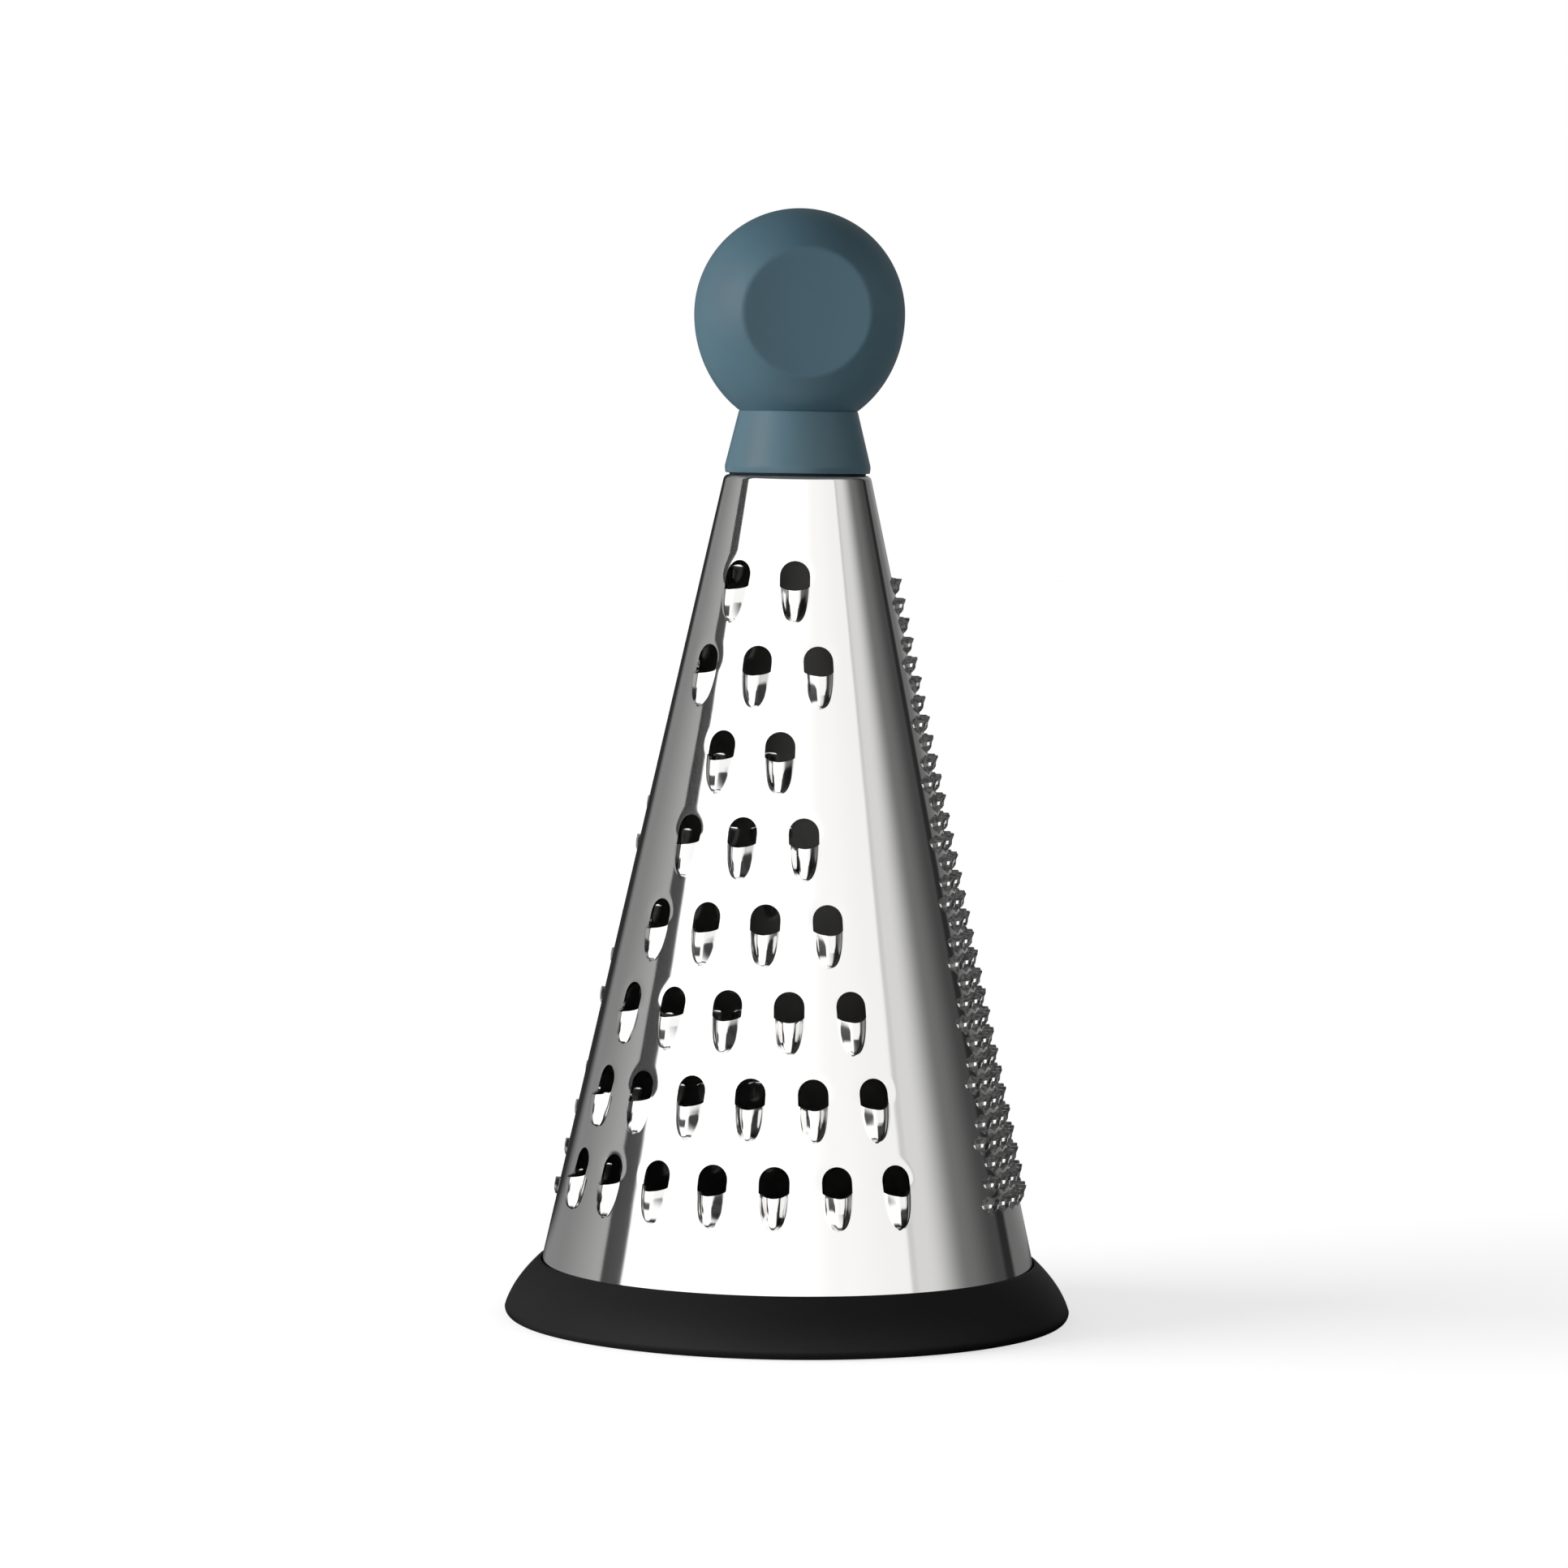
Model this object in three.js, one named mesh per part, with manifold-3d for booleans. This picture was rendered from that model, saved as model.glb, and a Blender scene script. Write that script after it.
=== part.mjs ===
// A cone grater: a rolled steel cone with three fields of teeth, standing in a rubber base ring,
// with a ball knob held on top by a screw that comes up from inside the cone.
// Millimetres, +Z up, origin on the floor at the middle of the base ring, coarse teeth facing -Y.
import * as THREE from "three";
import { ConvexHull } from "three/addons/math/ConvexHull.js";
import { mergeVertices } from "three/addons/utils/BufferGeometryUtils.js";
import Module from "manifold-3d";

const wasm = await Module();
wasm.setup();

// Driving dimensions of the steel cone
const SHEET = 0.5;
const CONE_HEIGHT = 168.19;
const CONE_FOOT_RADIUS = 51.87;
const CONE_TOP_RADIUS = 14.78;
const SHOULDER_RADIUS = 1.2;

// Driving dimensions of the rubber base ring
const RING_FLOOR = 3;
const RING_HEIGHT = 11.6;
const RING_FLARE = 5.63;
const RING_LIP = 0.5;
const RING_CORNER = 1.8;
const RING_BULGE = 0.95;
const RING_INNER_WALL = 4.4;
const RING_INNER_HEIGHT = 7.5;

// Driving dimensions of the handle: seal, collar with its post, and knob
const SEAL_THICKNESS = 0.35;
const COLLAR_HEIGHT = 12.6;
const COLLAR_RIM = 1.3;
const COLLAR_CHAMFER = 0.5;
const NECK_RADIUS = 12;
const POST_RADIUS = 8;
const POST_HEIGHT = 21;
const KNOB_RADIUS = 21.3;
const KNOB_DROP = 19.45;
const KNOB_FACING = 24.6;
const DIMPLE_RADIUS = 12.9;
const DIMPLE_HOLLOW = 0.8;

// Driving dimensions of the plug in the cone's top and of its fastening
const PLUG_DEPTH = 11;
const SPIGOT_RADIUS = 8.7;
const SPIGOT_RISE = 4;
const SCREW_RADIUS = 2.45;
const SCREW_LENGTH = 27;
const SCREW_HEAD_RADIUS = 4.6;
const SCREW_HEAD_HEIGHT = 3.4;
const SCREW_HEAD_ROUND = 1.1;
const SCREW_SLOT = 1.3;
const SCREW_SLOT_LENGTH = 5.5;
const SCREW_SLOT_DEPTH = 1.8;
const SCREW_TIP_ROOM = 2;
const WASHER_RADIUS = 6.5;
const WASHER_THICKNESS = 1.2;
const INSERT_RADIUS = 3.7;
const INSERT_LENGTH = 12;
const INSERT_GROOVE = 0.4;

// Clearance round pieces that fit into each other
const FIT = 0.3;

// Facets round a full turn, and along the curves of a profile
const TURN_STEPS = 48;
const HANDLE_STEPS = 36;
const DIMPLE_STEPS = 28;
const SCREW_STEPS = 20;
const CORNER_STEPS = 3;
const FLANK_STEPS = 4;
const SHOULDER_STEPS = 2;
const BALL_LOWER_STEPS = 6;
const BALL_UPPER_STEPS = 9;
const DISH_STEPS = 3;

// Levels of points on the plain sheet between the teeth, and how near a tooth they may come
const PLAIN_LEVELS = 13;
const PLAIN_GAP = 2.4;

// The three fields of teeth. Each is a triangle of staggered rows, widest at the bottom.
// facing: degrees round from the front. lowZ: height of the lowest row. reach: how far a row may
// run to either side of the field's middle line, at the lowest and at the highest row.
// hole: half the width of a tooth. bands: where along its length a scoop has rows of corners.
const COARSE = {
  facing: 0, lowZ: 33.1, rowStep: 16.87, pitch: 12.45, lowReach: 38.8, highReach: 8.5,
  hole: 3, holeHeight: 6.5, scoopLength: 6.35, scoopRise: 2.2,
  holeSides: 8, archSides: 4, bands: [0.45, 0.8],
};
const MEDIUM = {
  facing: -120, lowZ: 27.4, rowStep: 7.83, pitch: 5.8, lowReach: 35.2, highReach: 9.3,
  hole: 1.5, holeHeight: 0.8, scoopLength: 3.6, scoopRise: 1.35,
  holeSides: 3, archSides: 2, bands: [],
};
const FINE = {
  facing: 120, lowZ: 26.2, rowStep: 3.96, pitch: 5.6, lowReach: 34.05, highReach: 6.05,
  hole: 1.25, spikeRise: 1.9,
};
const FIELDS = [COARSE, MEDIUM, FINE];
const TOP_PLAIN = 18.4;
const STRIP_MIN = 4;
const CROWN_POWER = 0.7;
const TONGUE_POWER = 2.4;

// Heights and radii that follow from the sizes above
const taper = (CONE_FOOT_RADIUS - CONE_TOP_RADIUS) / CONE_HEIGHT;
const tilt = Math.atan(taper);
const wallAcross = SHEET / Math.cos(tilt);
const coneFootZ = RING_FLOOR + SHEET * Math.sin(tilt);
const coneTopZ = coneFootZ + CONE_HEIGHT;
const outerRadius = (z) => CONE_TOP_RADIUS + (coneTopZ - z) * taper;
const innerRadius = (z) => outerRadius(z) - wallAcross;
const landBore = SPIGOT_RADIUS + FIT;
const landRadius = outerRadius(coneTopZ - SHOULDER_RADIUS) - SHOULDER_RADIUS / Math.cos(tilt);
const collarFootZ = coneTopZ + SEAL_THICKNESS;
const neckZ = collarFootZ + COLLAR_HEIGHT;
const knobMiddleZ = neckZ + KNOB_DROP;
const plugTopZ = coneTopZ - SHEET;
const plugFootZ = plugTopZ - PLUG_DEPTH;
const spigotTopZ = collarFootZ + SPIGOT_RISE;
const headTopZ = plugFootZ - WASHER_THICKNESS;
const screwTipZ = headTopZ + SCREW_LENGTH;
const screwBore = SCREW_RADIUS + FIT;

const radians = THREE.MathUtils.degToRad;

// Points along an arc in a profile, from one angle to another, both ends included
function arc(r, z, radius, from, to, steps) {
  return Array.from({ length: steps + 1 }, (_, i) => {
    const angle = radians(from + ((to - from) * i) / steps);
    return [r + radius * Math.cos(angle), z + radius * Math.sin(angle)];
  });
}

// A solid of revolution about Z from a profile of [radius, height] pairs, anticlockwise when
// radius runs right and height runs up
function turned(profile, steps) {
  const points = profile.map(([r, z]) => new THREE.Vector2(Math.max(r, 0), z));
  const closed = points[0].x > 0 ? [...points, points[0].clone()] : points;
  return new THREE.LatheGeometry(closed, steps).rotateX(Math.PI / 2);
}

// Closed three.js geometry to a manifold-3d solid, and back
const SAME_POINT = 1e-4;

function solid(geometry) {
  const bare = new THREE.BufferGeometry();
  bare.setAttribute("position", geometry.getAttribute("position"));
  bare.setIndex(geometry.getIndex());
  const merged = mergeVertices(bare, SAME_POINT);
  return new wasm.Manifold(
    new wasm.Mesh({
      numProp: 3,
      vertProperties: merged.getAttribute("position").array,
      triVerts: new Uint32Array(merged.getIndex().array),
    }),
  );
}

function geometryOf(body) {
  const mesh = body.getMesh();
  const geometry = new THREE.BufferGeometry();
  geometry.setAttribute("position", new THREE.BufferAttribute(mesh.vertProperties, 3));
  geometry.setIndex(new THREE.BufferAttribute(mesh.triVerts, 1));
  return geometry;
}

// The sheet is laid out flat first: polar about the cone's apex, with the front facing -Y
const apexZ = coneTopZ + CONE_TOP_RADIUS / taper;
const flatTurn = Math.sin(tilt);

function flatPoint(facing, height, along = 0, up = 0) {
  const turn = radians(facing) * flatTurn;
  const reach = outerRadius(height) / flatTurn;
  return new THREE.Vector2(along, up - reach).rotateAround(new THREE.Vector2(), turn);
}

// Rolls a flat point up onto the cone, so far out from the sheet's outer face
function rolled(point, out) {
  const reach = point.length();
  const angle = Math.atan2(point.x, -point.y) / flatTurn;
  const r = reach * flatTurn + out * Math.cos(tilt);
  const z = apexZ - reach * Math.cos(tilt) + out * Math.sin(tilt);
  return ring(angle, r, z);
}

const ring = (angle, r, z) => new THREE.Vector3(r * Math.sin(angle), -r * Math.cos(angle), z);

// The facing and height of each tooth of a field: every other row is set over by half a pitch,
// and no row runs into the plain strip that is left between two fields
function toothPlaces(field) {
  const places = [];
  const rows = Math.floor((coneTopZ - TOP_PLAIN - field.lowZ) / field.rowStep) + 1;
  for (let row = 0; row < rows; row++) {
    const height = field.lowZ + row * field.rowStep;
    const radius = outerRadius(height);
    const share = row / Math.max(rows - 1, 1);
    const room = (Math.PI / FIELDS.length) * radius - field.hole - STRIP_MIN / 2;
    const reach = Math.min(THREE.MathUtils.lerp(field.lowReach, field.highReach, share), room);
    const shift = (row % 2) / 2;
    const end = Math.floor(reach / field.pitch - shift) + shift;
    for (let column = -end; column <= end; column++) {
      const swing = THREE.MathUtils.radToDeg((column * field.pitch) / radius);
      places.push([field.facing + swing, height]);
    }
  }
  return places;
}

// A sheet being laid out: each vertex has its place on the outer and on the inner face
class Sheet {
  outside = [];
  inside = [];

  vertex(outer, inner) {
    this.inside.push(inner);
    return this.outside.push(outer) - 1;
  }

  // A corner of the flat pattern: its flat place, and the vertex that it becomes
  corner(flat, out = 0) {
    return { flat, id: this.vertex(rolled(flat, out), rolled(flat, out - SHEET)) };
  }
}

// Even triangles between all the corners of the flat pattern: the underside of the hull of the same
// points lifted onto a bowl. What lies between corners of one group only is left open.
function fillFlat(groups) {
  const owners = new Map();
  groups.forEach((group) =>
    group.forEach(({ flat, id }) => {
      owners.set(new THREE.Vector3(flat.x, flat.y, flat.lengthSq()), { group, id });
    }),
  );
  const faces = [];
  for (const face of new ConvexHull().setFromPoints([...owners.keys()]).faces) {
    const edges = [face.edge, face.edge.next, face.edge.prev];
    const corners = edges.map((edge) => owners.get(edge.head().point));
    const open = corners.every(({ group }) => group === corners[0].group);
    if (face.normal.z < 0 && !open) faces.push(corners.map(({ id }) => id).reverse());
  }
  return faces;
}

// Draws a sine or cosine towards 1, which turns an ellipse into a rounded arch
const squarer = (value) => Math.sign(value) * Math.abs(value) ** CROWN_POWER;

// A scoop is a tongue of sheet pressed out below its hole, highest at the cutting lip.
// share runs from 0 at the lip to 1 at the tip. Gives the tooth's outline on the sheet, and the
// triangles of its tongue.
function scoop(sheet, field, place) {
  const { hole, holeHeight, holeSides, scoopLength, scoopRise, archSides } = field;
  const lip = -holeHeight / 2;
  const corner = (along, up, out) => sheet.corner(flatPoint(...place, along, up), out);
  const crown = Array.from({ length: holeSides + 1 }, (_, i) => {
    const angle = (Math.PI * i) / holeSides;
    return corner(hole * squarer(Math.cos(angle)), lip + holeHeight * squarer(Math.sin(angle)));
  });
  const rows = [0, ...field.bands].map((share) => {
    const half = hole * Math.sqrt(1 - share * share);
    const rise = scoopRise * (1 - share ** TONGUE_POWER);
    return Array.from({ length: archSides + 1 }, (_, i) => {
      const across = (2 * i) / archSides - 1;
      return corner(half * across, lip - share * scoopLength, rise * (1 - across * across));
    });
  });
  rows[0][0] = crown[holeSides];
  rows[0][archSides] = crown[0];
  const tip = corner(0, lip - scoopLength);
  const left = rows.slice(1).map((row) => row[0]);
  const right = rows.slice(1).map((row) => row[archSides]);
  const faces = [];
  for (let i = 0; i < archSides; i++) {
    for (let band = 0; band + 1 < rows.length; band++) {
      const [high, low] = [rows[band], rows[band + 1]];
      faces.push([low[i], low[i + 1], high[i + 1]], [low[i], high[i + 1], high[i]]);
    }
    const last = rows[rows.length - 1];
    faces.push([tip, last[i + 1], last[i]]);
  }
  return {
    outline: [...crown, ...left, tip, ...right.reverse()],
    faces: faces.map((face) => face.map((point) => point.id)),
  };
}

// A rasp point: the four-sided burr that a punch throws up
function spike(sheet, field, place) {
  const outline = [0, 90, 180, 270].map((turn) => {
    const angle = radians(turn);
    const out = [field.hole * Math.cos(angle), field.hole * Math.sin(angle)];
    return sheet.corner(flatPoint(...place, ...out));
  });
  const apex = sheet.corner(flatPoint(...place), field.spikeRise);
  const faces = outline.map((point, i) => [point.id, outline[(i + 1) % outline.length].id, apex.id]);
  return { outline, faces };
}

// Whether a tooth's outline, which bulges all round, goes round a flat point
function encloses(outline, flat) {
  return outline.every((corner, i) => {
    const next = outline[(i + 1) % outline.length].flat.clone();
    return next.sub(corner.flat).cross(flat.clone().sub(corner.flat)) > 0;
  });
}

function gratingCone() {
  const sheet = new Sheet();
  const bendZ = coneTopZ - SHOULDER_RADIUS;
  const sideTopZ = bendZ + SHOULDER_RADIUS * Math.sin(tilt);
  const stepTurn = 360 / TURN_STEPS;
  const turns = Array.from({ length: TURN_STEPS + 1 }, (_, i) => i * stepTurn - 180);
  // The pattern's two straight ends meet at the back, so its last corners share the first vertices
  const edge = (height) => {
    const corners = turns.slice(0, -1).map((turn) => sheet.corner(flatPoint(turn, height)));
    return [...corners, { flat: flatPoint(180, height), id: corners[0].id }];
  };
  const foot = edge(coneFootZ);
  const top = edge(sideTopZ);
  const edges = [...foot.map((corner) => [corner]), top];

  const scoops = [COARSE, MEDIUM].flatMap((field) =>
    toothPlaces(field).map((place) => scoop(sheet, field, place)),
  );
  const spikes = toothPlaces(FINE).map((place) => spike(sheet, FINE, place));

  // Points that keep the plain stretches round: one on each facet line at a few heights from the
  // base ring's lip to the plug's foot, wherever no tooth is near. The inner face has no rasp
  // points, so it takes plain ones there too.
  const between = (teeth) => {
    const clear = (flat) =>
      teeth.every(({ outline }) => {
        const near = outline.some((corner) => corner.flat.distanceTo(flat) < PLAIN_GAP);
        return !near && !encloses(outline, flat);
      });
    const heights = Array.from({ length: PLAIN_LEVELS }, (_, i) =>
      THREE.MathUtils.lerp(RING_HEIGHT, plugFootZ, i / (PLAIN_LEVELS - 1)),
    );
    const spots = heights.flatMap((height) => turns.slice(1, -1).map((turn) => flatPoint(turn, height)));
    return spots.filter(clear).map((flat) => [sheet.corner(flat)]);
  };
  const outlinesOf = (teeth) => teeth.map((tooth) => tooth.outline);
  const facesOf = (teeth) => teeth.flatMap((tooth) => tooth.faces);
  const everyTooth = [...scoops, ...spikes];
  const outerFaces = fillFlat([...edges, ...outlinesOf(everyTooth), ...between(everyTooth)]);
  outerFaces.push(...facesOf(everyTooth));
  const innerFaces = fillFlat([...edges, ...outlinesOf(scoops), ...between(scoops)]);
  innerFaces.push(...facesOf(scoops));

  // The shoulder turns in round the top, and ends in the flat land round the bore
  const shoulder = [];
  for (let i = 1; i <= SHOULDER_STEPS; i++) {
    const angle = THREE.MathUtils.lerp(tilt, Math.PI / 2, i / SHOULDER_STEPS);
    const at = (radius) => [landRadius + radius * Math.cos(angle), bendZ + radius * Math.sin(angle)];
    shoulder.push([at(SHOULDER_RADIUS), at(SHOULDER_RADIUS - SHEET)]);
  }
  shoulder.push([[landBore, coneTopZ], [landBore, coneTopZ - SHEET]]);
  let below = top.slice(0, -1).map((corner) => corner.id);
  for (const [outer, inner] of shoulder) {
    const above = turns.slice(0, -1).map((turn) =>
      sheet.vertex(ring(radians(turn), ...outer), ring(radians(turn), ...inner)),
    );
    below.forEach((a, i) => {
      const next = (i + 1) % TURN_STEPS;
      const pair = [[a, below[next], above[next]], [a, above[next], above[i]]];
      outerFaces.push(...pair);
      innerFaces.push(...pair);
    });
    below = above;
  }
  return thickened(sheet, outerFaces, innerFaces);
}

// Closes a sheet: its outer face, its inner face turned round, and a wall along each free edge
function thickened(sheet, outerFaces, innerFaces) {
  const count = sheet.outside.length;
  const index = outerFaces.flat();
  for (const [a, b, c] of innerFaces) {
    index.push(a + count, c + count, b + count);
  }
  const name = (a, b) => a * count + b;
  const edges = (face) => face.map((a, k) => [a, face[(k + 1) % 3]]);
  const known = new Set(outerFaces.flatMap(edges).map(([a, b]) => name(a, b)));
  for (const [a, b] of outerFaces.flatMap(edges)) {
    if (known.has(name(b, a))) continue;
    index.push(b, a, a + count, b, a + count, b + count);
  }
  const positions = [...sheet.outside, ...sheet.inside].flatMap((p) => p.toArray());
  const geometry = new THREE.BufferGeometry();
  geometry.setAttribute("position", new THREE.Float32BufferAttribute(positions, 3));
  return geometry.setIndex(index);
}

function baseRing() {
  const widest = CONE_FOOT_RADIUS + RING_FLARE;
  const lipInner = outerRadius(RING_HEIGHT) + FIT;
  const lipOuter = lipInner + RING_LIP;
  const bore = innerRadius(RING_FLOOR) - FIT - RING_INNER_WALL;
  // The flank bows out from the straight line between its widest point and the lip
  const flank = [];
  const rise = RING_HEIGHT - RING_CORNER;
  for (let i = 1; i < FLANK_STEPS; i++) {
    const share = i / FLANK_STEPS;
    const bow = RING_BULGE * 4 * share * (1 - share);
    const r = THREE.MathUtils.lerp(widest, lipOuter, share);
    flank.push([r + bow, RING_CORNER + rise * share]);
  }
  return turned(
    [
      [bore, 0],
      ...arc(widest - RING_CORNER, RING_CORNER, RING_CORNER, -90, 0, CORNER_STEPS),
      ...flank,
      [lipOuter, RING_HEIGHT],
      [lipInner, RING_HEIGHT],
      [outerRadius(RING_FLOOR) + FIT, RING_FLOOR],
      [innerRadius(RING_FLOOR) - FIT, RING_FLOOR],
      [innerRadius(RING_INNER_HEIGHT) - FIT, RING_INNER_HEIGHT],
      [bore + RING_CORNER, RING_INNER_HEIGHT],
      [bore, RING_INNER_HEIGHT - RING_CORNER],
    ],
    TURN_STEPS,
  );
}

function sealRing() {
  return turned(
    [
      [landBore, coneTopZ],
      [landRadius, coneTopZ],
      [landRadius, collarFootZ],
      [landBore, collarFootZ],
    ],
    HANDLE_STEPS,
  );
}

// The collar and the post that carries the knob are one moulding, with a stepped blind hole
function handleCore() {
  const foot = CONE_TOP_RADIUS;
  const insertFootZ = spigotTopZ + FIT;
  const insertTopZ = insertFootZ + INSERT_LENGTH;
  const holeTopZ = Math.max(screwTipZ, insertTopZ) + SCREW_TIP_ROOM;
  return turned(
    [
      [0, holeTopZ],
      [screwBore, holeTopZ],
      [screwBore, insertTopZ + FIT],
      [INSERT_RADIUS + FIT, insertTopZ + FIT],
      [INSERT_RADIUS + FIT, insertFootZ],
      [landBore, insertFootZ],
      [landBore, collarFootZ],
      [foot - COLLAR_CHAMFER, collarFootZ],
      [foot, collarFootZ + COLLAR_CHAMFER],
      [foot, collarFootZ + COLLAR_RIM],
      [NECK_RADIUS, neckZ],
      [POST_RADIUS, neckZ],
      [POST_RADIUS, neckZ + POST_HEIGHT],
      [0, neckZ + POST_HEIGHT],
    ],
    HANDLE_STEPS,
  );
}

// A ball whose lower half is drawn down to the neck, with a thumb dimple front and back
function knob() {
  const socket = POST_RADIUS + FIT;
  const socketTop = neckZ + POST_HEIGHT + FIT;
  const lowerHalf = KNOB_DROP / Math.sqrt(1 - (NECK_RADIUS / KNOB_RADIUS) ** 2);
  const neckAngle = THREE.MathUtils.radToDeg(-Math.asin(KNOB_DROP / lowerHalf));
  const lower = arc(0, 0, 1, neckAngle, 0, BALL_LOWER_STEPS).map(([r, z]) => [
    r * KNOB_RADIUS,
    knobMiddleZ + z * lowerHalf,
  ]);
  const upper = arc(0, knobMiddleZ, KNOB_RADIUS, 0, 90, BALL_UPPER_STEPS).slice(1, -1);
  const ball = turned(
    [
      [0, socketTop],
      [socket, socketTop],
      [socket, neckZ],
      ...lower,
      ...upper,
      [0, knobMiddleZ + KNOB_RADIUS],
    ],
    HANDLE_STEPS,
  );
  const flat = Math.sqrt(KNOB_RADIUS ** 2 - DIMPLE_RADIUS ** 2);
  const dish = [];
  for (let i = 0; i <= DISH_STEPS; i++) {
    const share = i / DISH_STEPS;
    dish.push([share * DIMPLE_RADIUS, flat - DIMPLE_HOLLOW * (1 - share * share)]);
  }
  const outside = KNOB_RADIUS + DIMPLE_RADIUS;
  const cutter = turned([...dish, [outside, outside], [0, outside]], DIMPLE_STEPS);
  let body = solid(ball);
  for (const facing of [KNOB_FACING, KNOB_FACING + 180]) {
    const placed = cutter.clone().rotateX(Math.PI / 2).rotateZ(radians(facing));
    body = body.subtract(solid(placed.translate(0, 0, knobMiddleZ)));
  }
  return geometryOf(body);
}

// Tapered to the inside of the cone, hung from the land, with a spigot up through it
function conePlug() {
  const shoulderZ = plugTopZ - SHOULDER_RADIUS;
  return turned(
    [
      [screwBore, plugFootZ],
      [innerRadius(plugFootZ) - FIT, plugFootZ],
      [innerRadius(shoulderZ) - FIT, shoulderZ],
      [landRadius - SHEET, plugTopZ],
      [SPIGOT_RADIUS, plugTopZ],
      [SPIGOT_RADIUS, spigotTopZ],
      [screwBore, spigotTopZ],
    ],
    HANDLE_STEPS,
  );
}

function screwWasher() {
  return turned(
    [
      [screwBore, headTopZ],
      [WASHER_RADIUS, headTopZ],
      [WASHER_RADIUS, plugFootZ],
      [screwBore, plugFootZ],
    ],
    HANDLE_STEPS,
  );
}

// A pan-head screw, head down, with a cross recess in the head
function handleScrew() {
  const headFootZ = headTopZ - SCREW_HEAD_HEIGHT;
  const round = SCREW_HEAD_ROUND;
  const point = SCREW_RADIUS / 2;
  const body = turned(
    [
      [0, headFootZ],
      ...arc(SCREW_HEAD_RADIUS - round, headFootZ + round, round, -90, 0, CORNER_STEPS),
      [SCREW_HEAD_RADIUS, headTopZ],
      [SCREW_RADIUS, headTopZ],
      [SCREW_RADIUS, screwTipZ - point],
      [point, screwTipZ],
      [0, screwTipZ],
    ],
    SCREW_STEPS,
  );
  const deep = 2 * SCREW_SLOT_DEPTH;
  let screw = solid(body);
  for (const [x, y] of [[SCREW_SLOT_LENGTH, SCREW_SLOT], [SCREW_SLOT, SCREW_SLOT_LENGTH]]) {
    screw = screw.subtract(solid(new THREE.BoxGeometry(x, y, deep).translate(0, 0, headFootZ)));
  }
  return geometryOf(screw);
}

// A brass sleeve set in the post, grooved round the outside so that it can't pull out
function threadedInsert() {
  const footZ = spigotTopZ + FIT;
  const topZ = footZ + INSERT_LENGTH;
  const grooves = 2;
  const band = INSERT_LENGTH / (2 * grooves + 1);
  const outside = [];
  for (let i = 0; i < grooves; i++) {
    const low = footZ + band * (2 * i + 1);
    outside.push([INSERT_RADIUS, low], [INSERT_RADIUS - INSERT_GROOVE, low]);
    outside.push([INSERT_RADIUS - INSERT_GROOVE, low + band], [INSERT_RADIUS, low + band]);
  }
  return turned(
    [[screwBore, footZ], [INSERT_RADIUS, footZ], ...outside, [INSERT_RADIUS, topZ], [screwBore, topZ]],
    SCREW_STEPS,
  );
}

// Materials
const finish = (color, roughness, metalness) =>
  new THREE.MeshStandardMaterial({ color, roughness, metalness });
const polishedSteel = finish(0xd9d8d6, 0.12, 1);
const plainSteel = finish(0xb9b9b7, 0.3, 1);
const brass = finish(0xb8953f, 0.35, 1);
const blackRubber = finish(0x26262a, 0.75, 0);
const blackPlastic = finish(0x1d1e20, 0.5, 0);
const softTouchBlue = finish(0x506a76, 0.62, 0);
const collarBlue = finish(0x5a7784, 0.45, 0);

const grater = new THREE.Group();
function add(name, geometry, material) {
  const mesh = new THREE.Mesh(geometry, material);
  mesh.name = name;
  grater.add(mesh);
}

add("base_ring", baseRing(), blackRubber);
add("grating_cone", gratingCone(), polishedSteel);
add("cone_plug", conePlug(), blackPlastic);
add("seal_ring", sealRing(), blackRubber);
add("handle_core", handleCore(), collarBlue);
add("threaded_insert", threadedInsert(), brass);
add("screw_washer", screwWasher(), plainSteel);
add("handle_screw", handleScrew(), plainSteel);
add("knob", knob(), softTouchBlue);

export default grater;
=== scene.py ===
# A cone grater: a rolled and toothed steel cone in a rubber foot ring, with a ball knob on a tapered
# collar that one screw holds from inside the cone. Sizes are in millimetres until a mesh is made.
import math

import bmesh
import bpy
import numpy as np
from mathutils import Matrix, Vector
from mathutils.geometry import delaunay_2d_cdt


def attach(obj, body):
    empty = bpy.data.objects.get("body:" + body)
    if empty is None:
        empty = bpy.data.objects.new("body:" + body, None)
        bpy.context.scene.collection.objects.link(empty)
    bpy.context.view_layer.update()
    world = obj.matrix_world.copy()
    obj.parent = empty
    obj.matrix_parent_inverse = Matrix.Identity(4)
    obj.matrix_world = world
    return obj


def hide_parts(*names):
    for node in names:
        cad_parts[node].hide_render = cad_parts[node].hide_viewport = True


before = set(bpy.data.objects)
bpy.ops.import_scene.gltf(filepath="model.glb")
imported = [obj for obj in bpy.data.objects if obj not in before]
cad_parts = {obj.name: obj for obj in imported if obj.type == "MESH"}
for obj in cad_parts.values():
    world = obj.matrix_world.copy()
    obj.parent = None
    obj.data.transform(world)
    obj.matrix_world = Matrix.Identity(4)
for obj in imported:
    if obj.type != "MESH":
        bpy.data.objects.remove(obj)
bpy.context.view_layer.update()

# The steel cone
# One stainless sheet, polished outside, punched flat with three fields of teeth and then rolled,
# lapped and spot-welded at the back. Its top edge is turned in as a land that the plug pulls on.
MM = 0.001
sheet_gauge = 0.5
cone_height = 168.19
cone_foot_radius = 51.87
cone_top_radius = 14.78
shoulder_radius = 1.2
land_bore = 9.0
ring_floor = 3.0

taper = (cone_foot_radius - cone_top_radius) / cone_height
tilt = math.atan(taper)
cone_foot_z = ring_floor + sheet_gauge * math.sin(tilt)
cone_top_z = cone_foot_z + cone_height
bend_z = cone_top_z - shoulder_radius


def cone_radius(z):
    """Outer radius of the cone's side at a height"""
    return cone_top_radius + (cone_top_z - z) * taper


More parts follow.
